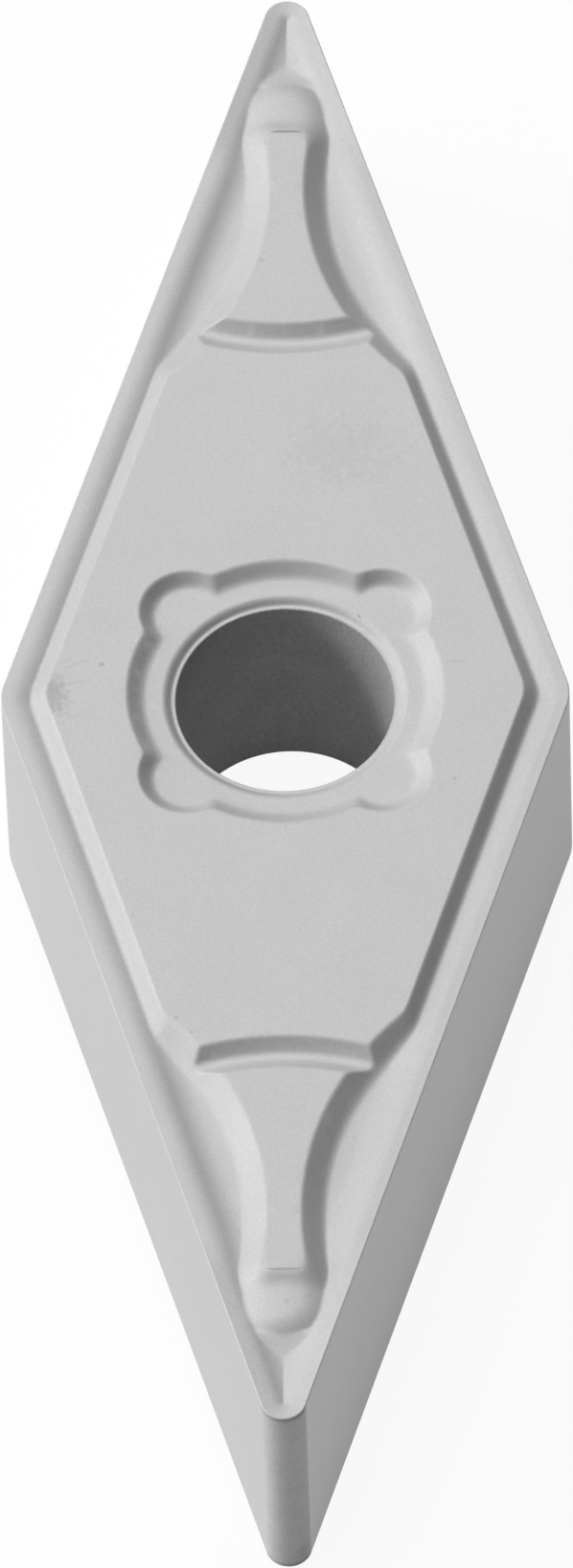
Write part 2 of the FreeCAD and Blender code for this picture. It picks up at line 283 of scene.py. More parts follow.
def bump_height(x, y):
    """Lying cylinder for the crown, cut by walls that slope away from a rounded rectangle."""
    out_x = x - bump_width / 2 + bump_corner_radius
    out_y = np.abs(y - bump_y + bump_length / 2) - bump_length / 2 + bump_corner_radius
    outside = np.hypot(np.maximum(out_x, 0), np.maximum(out_y, 0)) + np.minimum(np.maximum(out_x, out_y), 0)
    wall = bump_rise - (outside - bump_corner_radius) * math.tan(wall_slope) * (1 - bump_ease)
    over_x = np.minimum(x, bump_crown_reach)
    crown = bump_rise - bump_crown_radius + np.sqrt(bump_crown_radius**2 - over_x**2)
    return join_min(crown, wall, bump_edge_join)


def toe_height(y):
    """Plane that falls towards the nose, and another that falls back under the bump."""
    ahead = (y - toe_y) * math.tan(toe_slope)
    behind = (toe_y - y) * math.tan(toe_back_slope)
    return -toe_drop - join_max(ahead, behind, toe_ridge_join)


print("the groove's bottom lies", round(groove_depth - land_rise, 3), "mm under the cutting edge")

# %% [markdown]
# ## Recess round the hole
# A shallow dish with four lobes lies round the hole. Inside it a short step goes down to a narrow
# seat, and the bore starts there. The walls of dish and lobes are cones, so the recess is the lowest
# of them, with soft joins along the lines where they meet.

# %% Height of the recess
dish_radius = 2.75
dish_depth = 0.2
lobe_offset = 1.7
lobe_radius = 0.84
lobe_steepness = 1.2
step_radius = 2.1
step_width = 0.11
step_depth = 0.095
bore_hone = 0.03
lobe_join = 0.12  # between dish and lobe
floor_join = 0.07  # foot of the recess's wall
step_join = 0.05  # upper edge of the step
seat_join = 0.02  # foot of the step
floor_level = land_rise - dish_depth


def recess_height(x, y):
    """Lowest of the dish and a lobe, never under the floor, then a sloping step to the seat."""
    radius = np.hypot(x, y)
    dish = radius - dish_radius
    lobe = (np.hypot(x - lobe_offset, y - lobe_offset) - lobe_radius) * lobe_steepness
    wall = land_rise + join_min(dish, lobe, lobe_join) * math.tan(wall_slope)
    floor = join_max(wall, floor_level, floor_join)
    step = floor_level - (step_radius - radius) * step_depth / step_width
    return join_min(floor, join_max(step, floor_level - step_depth, seat_join), step_join)


print("the seat lies", round(dish_depth + step_depth, 3), "mm under the land")

# %% [markdown]
# ## The whole face
# The moulded relief is put together first: the rims of the two flanks that meet in the valley, then
# bump, toe and land on top of each other with hollow joins, then the groove is taken out. Grinding
# comes last, as it does on the real insert: everything above the land's plane is cut away.

# %% Relief before and after grinding
valley_join = 0.008  # between the two rakes in the valley of the nose
valley_fade = 0.05  # it narrows by this much per millimetre towards the nose
least_join = 1e-6
bump_foot_join = 0.04
toe_join = 0.02
land_foot_join = 0.1
foot_fade = 0.05  # the land's foot is sharper by this much at the waist
groove_join = 0.04
worn_edge = 0.035  # join that wears the ground faces' edges round
out_of_the_way = 1.0  # height that no form reaches
groove_reach = inner - rim_width - crest_run - trough_run / 2  # the groove runs out in the trough
groove_end = math.asin((groove_reach - groove_axis_y * math.sin(half_angle)) / groove_arc_radius)


def moulded(x, y):
    """Height above the cutting edge's plane as pressed, for places of the first quarter."""
    rim = rim_height(edge_distance(x, y), y)
    other_rim = rim_height(inner - across_flank(-x, y), y)
    rim = join_max(rim, other_rim, np.clip((nose_axis - y) * valley_fade, least_join, valley_join))
    form = join_max(rim, bump_height(x, y), bump_foot_join)
    form = join_max(form, toe_height(y), toe_join)
    wall = land_rise - land_distance(x, y) * math.tan(wall_slope)
    foot_join = land_foot_join - foot_fade * np.clip((y - shoulder_y) / (waist_y - shoulder_y), 0, 1)
    form = join_max(form, wall, foot_join)
    on_groove = np.arctan2(x, groove_axis_y - y) < half_angle + groove_end
    groove = np.where(on_groove, groove_height(x, y), out_of_the_way)
    form = join_min(form, groove, groove_join)
    return np.minimum(form, recess_height(x, y))


def ground(x, y):
    """The same after grinding: nothing stands above the lands, and their edges are worn round."""
    return join_min(moulded(x, y), land_rise, worn_edge)


samples = np.array([5.0, waist_y, bump_y, nose_axis])
print("heights along the long diagonal:", ground(np.zeros(4), samples).round(3))

# %% [markdown]
# ## Places for the mesh
# Broad flat faces with tight small radii want an uneven mesh. Places go on the outline, on the ground
# faces' outlines, and on a lattice that follows the flank. The ground faces' outlines are drawn roughly
# with circles and then slid, in a few Newton steps along the slope, until the moulded height there is
# that of the land.

# %% Paths of places
spacing = 0.16
crisp_step = 0.045
newton_steps = 6
longest_slide = 0.05  # in one step
least_steepness = 0.05  # squared slope that a step reckons with at least


def arc_points(x, y, radius, start, stop, step=crisp_step):
    """Points on a circle from one angle to another, ends included."""
    count = max(2, int(abs(stop - start) * radius / step) + 1)
    angle = np.linspace(start, stop, count)
    return np.stack([x + radius * np.cos(angle), y + radius * np.sin(angle)], 1)


def line_points(start, stop, step=crisp_step):
    """Evenly spaced points on a straight line, ends included."""
    start, stop = np.array(start, float), np.array(stop, float)
    count = max(2, int(np.linalg.norm(stop - start) / step) + 1)
    return start + np.linspace(0, 1, count)[:, None] * (stop - start)


def slide(points):
    """Newton steps along the slope of the moulded height, until it equals the height of the land."""
    nudge = 1e-5
    on_diagonal = 1e-9
    for _ in range(newton_steps):
        x, y = points[:, 0], points[:, 1]
        miss = moulded(x, y) - land_rise
        slope_x = (moulded(x + nudge, y) - moulded(x - nudge, y)) / (2 * nudge) * (x > on_diagonal)
        slope_y = (moulded(x, y + nudge) - moulded(x, y - nudge)) / (2 * nudge) * (y > on_diagonal)
        steep = np.maximum(slope_x**2 + slope_y**2, least_steepness)
        move = np.clip(miss / steep, -longest_slide, longest_slide)
        points = points - move[:, None] * np.stack([slope_x, slope_y], 1)
    return points


def space_out(points, step):
    """The same path with evenly spaced points, ends kept."""
    gap = np.linalg.norm(np.diff(points, axis=0), axis=1)
    track = np.concatenate([[0], np.cumsum(gap)])
    count = max(2, int(track[-1] / step) + 1)
    even = np.linspace(0, track[-1], count)
    return np.stack([np.interp(even, track, points[:, 0]), np.interp(even, track, points[:, 1])], 1)


def crisp(*parts):
    """Chain of rough points, spaced evenly and slid to the ground plane's level, twice over."""
    points = np.vstack(parts)
    for _ in range(2):
        points = space_out(slide(space_out(points, crisp_step)), crisp_step)
    return slide(points)


print("outline places are", crisp_step, "mm apart, the lattice's", spacing, "mm")

# %% [markdown]
# The groove's two edges are circles as well. Where they meet the tongue's hollow arc follows from the
# triangle between the two centres and the meeting point, by the law of cosines.

# %% Where the groove meets the tongue's arc
groove_half = (groove_depth - groove_bottom_radius * (1 - math.cos(wall_slope))) / math.tan(wall_slope)
groove_half += groove_bottom_radius * math.sin(wall_slope)
groove_outer = groove_arc_radius + groove_half
groove_inner = groove_arc_radius - groove_half


def arc_meets_groove(radius):
    """Turn about the groove's axis, from the long diagonal, at which that circle meets the hollow arc."""
    across, up = arc_x, waist_y - groove_axis_y
    span = math.hypot(across, up)
    share = (radius**2 + span**2 - tongue_arc_radius**2) / (2 * radius * span)
    return math.atan2(up, across) - math.acos(share)


def on_hollow_arc(x, y):
    """Turn of a point about the centre of the hollow arc, from 0 to a full turn."""
    return math.atan2(y - waist_y, x - arc_x) % (2 * math.pi)


def on_groove_circle(radius, turn):
    """Place on a circle about the groove's axis."""
    return radius * math.cos(turn), groove_axis_y + radius * math.sin(turn)


outer_turn = arc_meets_groove(groove_outer)
inner_turn = arc_meets_groove(groove_inner)
outer_start = on_hollow_arc(*on_groove_circle(groove_outer, outer_turn))
inner_start = on_hollow_arc(*on_groove_circle(groove_inner, inner_turn))
shoulder_join = on_hollow_arc(shoulder_x, shoulder_y)
corner_start = on_hollow_arc(corner_x, corner_y)
print("the groove is", round(2 * groove_half, 3), "mm wide at the height of the land")

# %% [markdown]
# Three outlines bound the ground faces of a quarter: the land with the groove's outer edge, the
# tongue with the inner one, and the recess. Each is a chain of circles and lines, slid into place.

# %% Outlines of the ground faces
lobe_share = dish_radius**2 + 2 * lobe_offset**2 - lobe_radius**2
lobe_meet = math.acos(lobe_share / (2 * dish_radius * lobe_offset * 2**0.5))
lobe_start = math.atan2(
    dish_radius * math.sin(math.pi / 4 - lobe_meet) - lobe_offset,
    dish_radius * math.cos(math.pi / 4 - lobe_meet) - lobe_offset,
)
shoulder_end = shoulder_turn + math.pi
blunt_part = arc_points(land_blunt_axis, 0, land_blunt_radius, 0, half_angle)
shoulder_part = arc_points(shoulder_x, shoulder_y, shoulder_radius, half_angle, shoulder_end)
hollow_part = arc_points(arc_x, waist_y, tongue_arc_radius, shoulder_join, outer_start)
land_outline = crisp(
    blunt_part,
    line_points(blunt_part[-1], shoulder_part[0])[1:-1],
    shoulder_part,
    hollow_part[1:],
    arc_points(0, groove_axis_y, groove_outer, outer_turn, -math.pi / 2)[1:],
)
corner_part = arc_points(corner_x, corner_y, tongue_corner_radius, corner_turn, math.pi / 2, crisp_step / 2)
waist_part = arc_points(arc_x, waist_y, tongue_arc_radius, inner_start, corner_start)
tongue_outline = crisp(
    arc_points(0, groove_axis_y, groove_inner, -math.pi / 2, inner_turn),
    waist_part[1:-1],
    corner_part,
    line_points(corner_part[-1], (0, tongue_end_y))[1:],
)
lobe_end = math.pi / 2 - lobe_start
lobe_part = arc_points(lobe_offset, lobe_offset, lobe_radius, lobe_start, lobe_end)
recess_outline = crisp(
    arc_points(0, 0, dish_radius, 0, math.pi / 4 - lobe_meet),
    lobe_part[1:-1],
    arc_points(0, 0, dish_radius, math.pi / 4 + lobe_meet, math.pi / 2),
)
for name, chain in (("land", land_outline), ("tongue", tongue_outline), ("recess", recess_outline)):
    miss = np.abs(moulded(chain[:, 0], chain[:, 1]) - land_rise).max()
    print(name, "outline:", len(chain), "points, off by at most", round(float(miss) * 1000, 3), "micron")

# %% [markdown]
# ## Rows and rings
# The cutting edge's outline comes next, with the direction outwards at every place. Moved inwards it
# gives the rows of the lattice, closer together on the crest and the trough, where the surface bends.
# Round the bore the places lie on rings.

# %% Outline, rows and rings
flank_ends = np.array([
    [blunt_axis + blunt_radius * math.cos(half_angle), blunt_radius * math.sin(half_angle)],
    [nose_radius * math.cos(half_angle), nose_axis + nose_radius * math.sin(half_angle)],
])
blunt_turns = np.linspace(0, half_angle, 9)
nose_turns = np.linspace(half_angle, math.pi / 2, 20)
flank_line = line_points(flank_ends[0], flank_ends[1], spacing / 2)[1:-1]
turns = np.concatenate([blunt_turns, np.full(len(flank_line), half_angle), nose_turns])
outward = np.stack([np.cos(turns), np.sin(turns)], 1)
outward[0], outward[-1] = (1, 0), (0, 1)
outline = np.vstack([
    np.array([blunt_axis, 0]) + blunt_radius * outward[: len(blunt_turns)],
    flank_line,
    np.array([0, nose_axis]) + nose_radius * outward[-len(nose_turns) :],
])
flank = slice(len(blunt_turns) - 1, -len(nose_turns) + 1)
least_blunt, least_nose = 0.05, 0.02  # corner circles smaller than this are left out
off_diagonal = 0.3 * spacing


def row_inside(inset, every=1):
    """The outline moved inwards; past a corner's circle the row ends on the diagonal instead."""
    moved = outline - inset * outward
    blunt = moved[: len(blunt_turns) - 1]
    nose = moved[-len(nose_turns) + 1 :]
    middle = moved[flank][::every]
    middle = middle[(middle > off_diagonal).all(1)]
    if inset > blunt_radius - least_blunt:
        blunt = np.array([[(inner - inset) / math.cos(half_angle), 0]])
    if inset > nose_radius - least_nose:
        nose = np.array([[0, (inner - inset) / math.sin(half_angle)]])
    return np.vstack([blunt, middle, nose])


strip_row = 0.095  # one row on the strip, between the edge and the crest
crest_rows = np.linspace(rim_width, trough_inset, 14)
inner_rows = np.arange(crest_rows[-1] + spacing / 2, inner - bore_radius, spacing)
edge_row = outline - hone_radius * outward
rows = [row_inside(inset) for inset in (strip_row, *crest_rows)]
rows += [row_inside(inset, every=2) for inset in inner_rows]
seat_radius = bore_radius + bore_hone
ring_turns = np.linspace(0, math.pi / 2, 61)
ring = np.stack([np.cos(ring_turns), np.sin(ring_turns)], 1)
ring[0], ring[-1] = (1, 0), (0, 1)
step_foot = step_radius - step_width
rings = [ring * radius for radius in (step_foot, (step_foot + step_radius) / 2, step_radius)]
print(len(rows), "rows follow the flank,", len(ring), "places on each ring")

# %% [markdown]
# ## Triangles between the places
# A constrained Delaunay triangulation joins the places into a surface and keeps every outline as a
# row of edges. The normals aren't guessed from the facets. They are read from the slopes of the
# formula, once for every corner of every triangle, so that a crisp edge has one normal on each side.

# %% Triangulation and normals
weld_gap = 1e-7
mouth_slack = 1e-6
least_area = 1e-8
towards_middle = 0.04  # how far inside its corner a normal is read


def chain_edges(start, count):
    """Index pairs that join a run of places one after the other."""
    index = np.arange(start, start + count - 1)
    return np.stack([index, index + 1], 1)


def clear_of(points, others, gap, batch=400):
    """Those points that are further than gap from all the others, which are tried in batches."""
    kept = points
    for first in range(0, len(others), batch):
        away = np.linalg.norm(kept[:, None, :] - others[None, first : first + batch], axis=2)
        kept = kept[(away > gap).all(1)]
    return kept


def relief_slopes(x, y):
    """Slopes of the ground height; mirrored places stand in for those across a diagonal."""
    nudge = 2e-4
    east, west = ground(np.abs(x + nudge), y), ground(np.abs(x - nudge), y)
    north, south = ground(x, np.abs(y + nudge)), ground(x, np.abs(y - nudge))
    return (east - west) / (2 * nudge), (north - south) / (2 * nudge)


def corner_normals(points, triangles):
    """Normal for every corner of every triangle, read a little inside it, so that crisp edges stay so."""
    corners = points[triangles]
    inside = corners + towards_middle * (corners.mean(1, keepdims=True) - corners)
    slope_x, slope_y = relief_slopes(inside[..., 0], inside[..., 1])
    normal = np.stack([-slope_x, -slope_y, np.ones_like(slope_x)], -1)
    return normal / np.linalg.norm(normal, axis=-1, keepdims=True)


def triangulate(points, edges):
    """Delaunay triangles with the given edges kept, those across the bore's mouth left out."""
    made = mathutils.geometry.delaunay_2d_cdt(points.tolist(), edges.tolist(), [], 0, weld_gap)
    triangles = np.array(made[2])
    on_mouth = np.hypot(points[:, 0], points[:, 1]) < seat_radius + mouth_slack
    triangles = triangles[~on_mouth[triangles].all(1)]
    a, b, c = (points[triangles[:, corner]] for corner in range(3))
    area = (b - a)[:, 0] * (c - a)[:, 1] - (b - a)[:, 1] * (c - a)[:, 0]
    return triangles[area > least_area]


paths = (edge_row, ring * seat_radius, land_outline, tongue_outline, recess_outline)
fixed = np.vstack(paths)
counts = [len(path) for path in paths]
starts = np.concatenate([[0], np.cumsum(counts)[:-1]])
edges = np.vstack([chain_edges(start, count) for start, count in zip(starts, counts)])
mouth_gap, edge_gap = 0.02, 0.03  # no loose place comes closer than this
loose = np.vstack(rows + rings)
loose = loose[np.hypot(loose[:, 0], loose[:, 1]) > seat_radius + mouth_gap]
loose = loose[edge_distance(loose[:, 0], loose[:, 1]) > hone_radius + edge_gap]
places = np.vstack([fixed, clear_of(loose, fixed, 0.6 * crisp_step)])
print(len(fixed), "places are fixed on paths,", len(places) - len(fixed), "are loose")

# %% [markdown]
# Where a triangle's edge still cuts a curve short, or the surface turns much from one end of the edge
# to the other, its middle becomes one more place, and the triangulation is made again.

# %% Finer and finer places
rounds = 5
largest_miss = 0.002
largest_turn = 0.16  # length of the difference of two normals
shortest_edge = 0.05
cell_size = 0.02  # of the new places, one per cell is kept
least_gap = 0.018

for finer in range(rounds):
    triangles = triangulate(places, edges)
    corners = places[triangles]
    normals = corner_normals(places, triangles)
    middles = (corners + np.roll(corners, -1, 1)) / 2
    heights = ground(corners[..., 0], corners[..., 1])
    straight = (heights + np.roll(heights, -1, 1)) / 2
    miss = np.abs(ground(middles[..., 0], middles[..., 1]) - straight)
    length = np.linalg.norm(corners - np.roll(corners, -1, 1), axis=2)
    turn = np.linalg.norm(normals - np.roll(normals, -1, 1), axis=2)
    wanted = ((miss > largest_miss) | (turn > largest_turn)) & (length > shortest_edge)
    print("round", finer, ":", len(places), "places,", int(wanted.sum()), "edges to halve")
    if not wanted.any():
        break
    extra = middles[wanted]
    cell = np.unique(np.round(extra / cell_size).astype(int), axis=0, return_index=True)[1]
    extra = clear_of(extra[cell], fixed, 0.3 * crisp_step)
    extra = clear_of(extra, places[len(fixed) :], least_gap)
    places = np.vstack([places, extra])

# %% [markdown]
# ## Edge, side and bore
# The rest of the body is a profile carried along a path, twice: a quarter round, then a straight wall
# down to the middle of the height. Along the outline the round is the honed cutting edge, and along
# the ring it leads from the seat into the bore. Here the normals are known exactly.

# %% Strips carried along a path
quarter_turn = np.linspace(math.pi / 2, 0, 6)
wall_levels = 4


def strip(places, normals):
    """Triangles between neighbouring rows; both inputs are rows by places by three."""
    count_rows, count_places = places.shape[:2]
    index = np.arange(count_rows * count_places).reshape(count_rows, count_places)
    a, b, c, d = index[:-1, :-1], index[:-1, 1:], index[1:, 1:], index[1:, :-1]
    faces = np.stack([np.stack([a, d, c], -1), np.stack([a, c, b], -1)], 2).reshape(-1, 3)
    return places.reshape(-1, 3)[faces], normals.reshape(-1, 3)[faces]


def rounded_wall(path, outwards, radius, top):
    """Quarter round below the top, then the wall down to 0, carried along a path with its normals."""
    down = np.linspace(top - radius, 0, wall_levels)[1:]
    tilt = np.concatenate([quarter_turn, np.zeros(len(down))])[:, None, None]
    height = np.concatenate([top + radius * (np.sin(quarter_turn) - 1), down])[:, None, None]
    size = (len(tilt), len(path), 1)
    inwards = radius * (np.cos(tilt) - 1)
    place = np.concatenate([path + inwards * outwards, np.broadcast_to(height, size)], -1)
    normal = np.concatenate([np.cos(tilt) * outwards, np.broadcast_to(np.sin(tilt), size)], -1)
    return strip(place, normal)


seat_height = edge_height + land_rise - dish_depth - step_depth
edge_strip = rounded_wall(outline, outward, hone_radius, edge_height)
bore_strip = rounded_wall(ring[::-1] * bore_radius, -ring[::-1], bore_hone, seat_height)
print(len(edge_strip[0]), "triangles on the side,", len(bore_strip[0]), "in the bore")

# %% [markdown]
# ## One eighth, eight times
# The quarter of a face is one eighth of the insert. It is mirrored across both diagonals and across
# the middle of the height. A mirrored triangle would turn its back outwards, so its corners are
# taken in the other order. Each triangle also gets the number of its finish here: what the wheel has
# reached is ground, the rest of the face keeps its sintered skin.

# %% Eight copies
SKIN, GROUND, BORE, FLANK, NOSE, HONED = range(6)
face_places = np.concatenate([corners, edge_height + heights[..., None]], -1)
eighth_places = np.concatenate([face_places, edge_strip[0], bore_strip[0]])
eighth_normals = np.concatenate([normals, edge_strip[1], bore_strip[1]])
middle = corners.mean(1)
is_ground = moulded(middle[:, 0], middle[:, 1]) > land_rise
steepest_normal = np.abs(edge_strip[1][..., 2]).max(1)
is_wall = steepest_normal < 0.5  # the round of the edge has normals that point up as well
on_nose = edge_strip[0][..., 1].mean(1) > nose_axis + nose_radius * math.sin(half_angle)
finish_of = np.concatenate([
    np.where(is_ground, GROUND, SKIN),
    np.where(is_wall, np.where(on_nose, NOSE, FLANK), HONED),
    np.full(len(bore_strip[0]), BORE),
])
solid_places, solid_normals = [], []
for mirror in np.array(np.meshgrid([1, -1], [1, -1], [1, -1])).reshape(3, 8).T:
    order = [0, 1, 2] if mirror.prod() > 0 else [0, 2, 1]
    solid_places.append((eighth_places * mirror)[:, order])
    solid_normals.append((eighth_normals * mirror)[:, order])
solid_places = np.concatenate(solid_places) + np.array([0, 0, overall_height / 2])
solid_normals = np.concatenate(solid_normals)
finish_of = np.tile(finish_of, 8)
print("ground share of the triangles:", round(float((finish_of == GROUND).mean()), 3))

# %% [markdown]
# Places that fall together become one vertex, which closes the seams between the copies. The mesh is
# filled with foreach_set, which hands over a whole array at once. The last count shows that every
# edge belongs to two triangles, so the surface is closed.

# %% The mesh
weld_cells = 1e4  # per millimetre
where, index = np.unique(
    np.round(solid_places.reshape(-1, 3) * weld_cells).astype(np.int64),
    axis=0, return_index=True, return_inverse=True,
)[1:]
vertices = solid_places.reshape(-1, 3)[where] * MM
faces = index.reshape(-1, 3)

insert_mesh = bpy.data.meshes.new("insert_body")
insert_mesh.vertices.add(len(vertices))
insert_mesh.vertices.foreach_set("co", vertices.astype(np.float32).ravel())
insert_mesh.loops.add(faces.size)
insert_mesh.loops.foreach_set("vertex_index", faces.astype(np.int32).ravel())
insert_mesh.polygons.add(len(faces))
insert_mesh.polygons.foreach_set("loop_start", np.arange(0, faces.size, 3, dtype=np.int32))
insert_mesh.polygons.foreach_set("material_index", finish_of.astype(np.int32))
insert_mesh.update(calc_edges=True)
insert_mesh.normals_split_custom_set(solid_normals.reshape(-1, 3).tolist())
insert_body = bpy.data.objects.new("insert_body", insert_mesh)
bpy.context.collection.objects.link(insert_body)
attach(insert_body, "root")
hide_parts("carbide_insert")

pairs = np.sort(np.stack([faces, np.roll(faces, -1, 1)], -1).reshape(-1, 2), 1)
shared = np.unique(pairs, axis=0, return_counts=True)[1]
print(len(vertices), "vertices,", len(faces), "triangles,", int((shared != 2).sum()), "open edges")

# %% [markdown]
# ## Finishes
# Sintered carbide is a matte metallic grey with a very fine grain. A rough metal alone would be too
# dark on the faces turned from the light, and a plain diffuse grey too flat on the walls, so each
# shader mixes the two by its Metallic socket. Two effects come back in several materials, and each is
# a node group, built once and placed with its own values: the powder's grain, and a mark at a place.

# %% Helpers for nodes


def add(tree, kind, sockets=(), **settings):
    """Node with its settings; sockets pairs an input with a value or with another node's output."""
    node = tree.nodes.new("ShaderNode" + kind)
    for key, setting in settings.items():
        setattr(node, key, setting)
    for socket, source in dict(sockets).items():
        if isinstance(source, bpy.types.NodeSocket):
            tree.links.new(source, node.inputs[socket])
        else:
            node.inputs[socket].default_value = source
    return node


def math_node(tree, operation, *sources):
    """Result of a math node on values or outputs."""
    return add(tree, "Math", enumerate(sources), operation=operation).outputs[0]


def vector_node(tree, operation, *sources):
    """Vector result of a vector math node."""
    return add(tree, "VectorMath", enumerate(sources), operation=operation).outputs[0]


def ramp(tree, value, start, stop, first, last, interpolation="SMOOTHSTEP"):
    """Value that goes from first to last while the input goes from start to stop, with soft ends."""
    sockets = {"Value": value, "From Min": start, "From Max": stop, "To Min": first, "To Max": last}
    return add(tree, "MapRange", sockets, interpolation_type=interpolation).outputs[0]


def new_group(name, inputs, outputs):
    """Node group with named sockets, and the ends to wire it from and to."""
    group = bpy.data.node_groups.new(name, "ShaderNodeTree")
    for socket, kind, start in inputs:
        made = group.interface.new_socket(name=socket, in_out="INPUT", socket_type="NodeSocket" + kind)
        made.default_value = start
    for socket, kind in outputs:
        group.interface.new_socket(name=socket, in_out="OUTPUT", socket_type="NodeSocket" + kind)
    print("group", name, "takes", ", ".join(socket for socket, kind, start in inputs))
    return group, group.nodes.new("NodeGroupInput").outputs, group.nodes.new("NodeGroupOutput").inputs


# %% [markdown]
# The grain reads the object's own coordinates, in metres, so its scale is in grains per metre. One
# noise is the grain, one much larger noise is the slow mottling that sintering leaves. Both change
# the tone about its middle, so the mean grey stays. The fine one also lifts the surface by about a
# micron.

# %% Grain of the pressed powder
grain_group, given, made = new_group(
    "powder_grain",
    [("Grains", "Float", 20000.0), ("Patches", "Float", 900.0), ("Stretch", "Vector", (1, 1, 1)),
     ("Grain", "Float", 0.04), ("Mottle", "Float", 0.03), ("Relief", "Float", 1e-6)],
    [("Tone", "Float"), ("Normal", "Vector")],
)
spot = vector_node(grain_group, "MULTIPLY", add(grain_group, "TexCoord").outputs["Object"], given["Stretch"])
fine = add(grain_group, "TexNoise", {"Vector": spot, "Scale": given["Grains"], "Detail": 2.0})
slow = add(grain_group, "TexNoise", {"Vector": spot, "Scale": given["Patches"], "Detail": 3.0})
fine_part = math_node(grain_group, "MULTIPLY_ADD", fine.outputs[0], given["Grain"], 1.0)
fine_part = math_node(grain_group, "MULTIPLY_ADD", given["Grain"], -0.5, fine_part)
slow_part = math_node(grain_group, "MULTIPLY_ADD", slow.outputs[0], given["Mottle"], fine_part)
tone = math_node(grain_group, "MULTIPLY_ADD", given["Mottle"], -0.5, slow_part)
lifted = add(grain_group, "Bump", {"Strength": 1.0, "Distance": given["Relief"], "Height": fine.outputs[0]})
grain_group.links.new(tone, made["Tone"])
grain_group.links.new(lifted.outputs[0], made["Normal"])

# %% [markdown]
# A mark is a place, a reach along three axes and a turn about the upright. The distance from the
# place, measured in reaches, makes the mask: full up to the core, none from one reach on. A little
# noise in the distance keeps the outline from being a perfect ellipse.

# %% Mark at a known place
mark_group, given, made = new_group(
    "placed_mark",
    [("Tone", "Float", 1.0), ("Place", "Vector", (0, 0, 0)), ("Reach", "Vector", (1e-4, 1e-4, 3e-4)),
     ("Turn", "Float", 0.0), ("Core", "Float", 0.4), ("Strength", "Float", 0.2), ("Wobble", "Float", 0.3)],
    [("Tone", "Float")],
)
spot = add(mark_group, "TexCoord").outputs["Object"]
offset = vector_node(mark_group, "SUBTRACT", spot, given["Place"])
turned = add(mark_group, "VectorRotate", {"Vector": offset, "Angle": given["Turn"]}, rotation_type="Z_AXIS")
scaled = vector_node(mark_group, "DIVIDE", turned.outputs[0], given["Reach"])
away = add(mark_group, "VectorMath", {0: scaled}, operation="LENGTH").outputs["Value"]
rough_edge = add(mark_group, "TexNoise", {"Vector": spot, "Scale": 9000.0, "Detail": 3.0}).outputs[0]
noise = math_node(mark_group, "SUBTRACT", rough_edge, 0.5)
away = math_node(mark_group, "ADD", away, math_node(mark_group, "MULTIPLY", noise, given["Wobble"]))
mask = ramp(mark_group, away, given["Core"], 1.0, 1.0, 0.0)
dimmed = math_node(mark_group, "SUBTRACT", 1.0, math_node(mark_group, "MULTIPLY", mask, given["Strength"]))
mark_group.links.new(math_node(mark_group, "MULTIPLY", given["Tone"], dimmed), made["Tone"])

# %% [markdown]
# Most marks are those of the real piece: a dark dot and a smudge near the left corner of the land,
# with hairlines between them, a fine line right of the hole, a few specks and a dull patch on the upper
# land. The moulded skin has a dimple and a nick. The rest is painted shade: a dark line along each
# tongue's end, darker on its right, and a darker foot of the nose. Places are in millimetres.

# %% Marks on the upper face


def mark(x, y, long, wide, strength, core=0.1, turn=0.0, wobble=0.3, z=overall_height, deep=0.3):
    """Values for the sockets of one mark, with its lengths in metres and its turn in radians."""
    place, reach = (x * MM, y * MM, z * MM), (long * MM, wide * MM, deep * MM)
    values = {"Place": place, "Reach": reach, "Strength": strength}
    return {**values, "Core": core, "Turn": turn, "Wobble": wobble}


ground_marks_and_shade = [
    mark(-3.194, 0.584, 0.08, 0.07, 0.26, core=0.2),  # dot
    mark(-4.02, -0.06, 0.34, 0.62, 0.24, core=0.0, wobble=1.6),  # smudge
    mark(-3.64, 0.595, 0.4, 0.03, 0.12, turn=-0.42),  # hairlines
    mark(-3.815, 0.677, 0.26, 0.025, 0.1, turn=-0.5),
    mark(-3.79, -0.158, 0.32, 0.025, 0.12, turn=0.68),
    mark(-3.815, -0.435, 0.26, 0.025, 0.11, turn=0.73),
    mark(-3.7, 0.2, 0.3, 0.022, 0.11, turn=-0.2),
    mark(2.975, 0.57, 0.32, 0.03, 0.1, wobble=0.6),  # line right of the hole
    mark(2.941, -1.883, 0.055, 0.05, 0.2, core=0.2),  # specks
    mark(-1.858, -6.801, 0.05, 0.05, 0.2, core=0.2),
    mark(-1.593, -7.1, 0.045, 0.045, 0.18, core=0.2),
    mark(-0.428, 9.176, 0.1, 0.06, 0.14),
    mark(0.96, 5.07, 1.1, 1.0, 0.05, core=0.2, wobble=3.0),  # dull patch
]
# painted shade along each tongue's end and beside its corners, darker at the far end and on the right
for end, strength in ((1, 0.42), (-1, 0.26)):
    line_y, side_y = end * (tongue_end_y - 0.015), end * (corner_y + 0.04)
    ground_marks_and_shade.append(mark(0, line_y, 1.1, 0.05, strength, core=0.3, wobble=0.4))
    for hand, part in ((-1, 0.7), (1, 1.2)):
        side_x = hand * (corner_x + 0.15)
        ground_marks_and_shade.append(mark(side_x, side_y, 0.06, 0.3, strength * part, core=0.3, wobble=0.5))
skin_marks = [
    mark(0.049, -12.55, 0.08, 0.09, 0.1, core=0.2, z=4.93),  # dimple
    mark(1.29, 1.68, 0.02, 0.075, 0.4, core=0.4, turn=-0.54, z=4.82, deep=0.1),  # nick
]
# painted shade: the foot of the nose, on its right side, is darkened next to the paper
nose_foot_shade = [mark(0.26, -14.8, 0.25, 0.3, 0.2, core=0.0, wobble=0.8, z=0.5, deep=0.4)]
print(len(ground_marks_and_shade) + len(skin_marks) + len(nose_foot_shade), "marks are placed by hand")
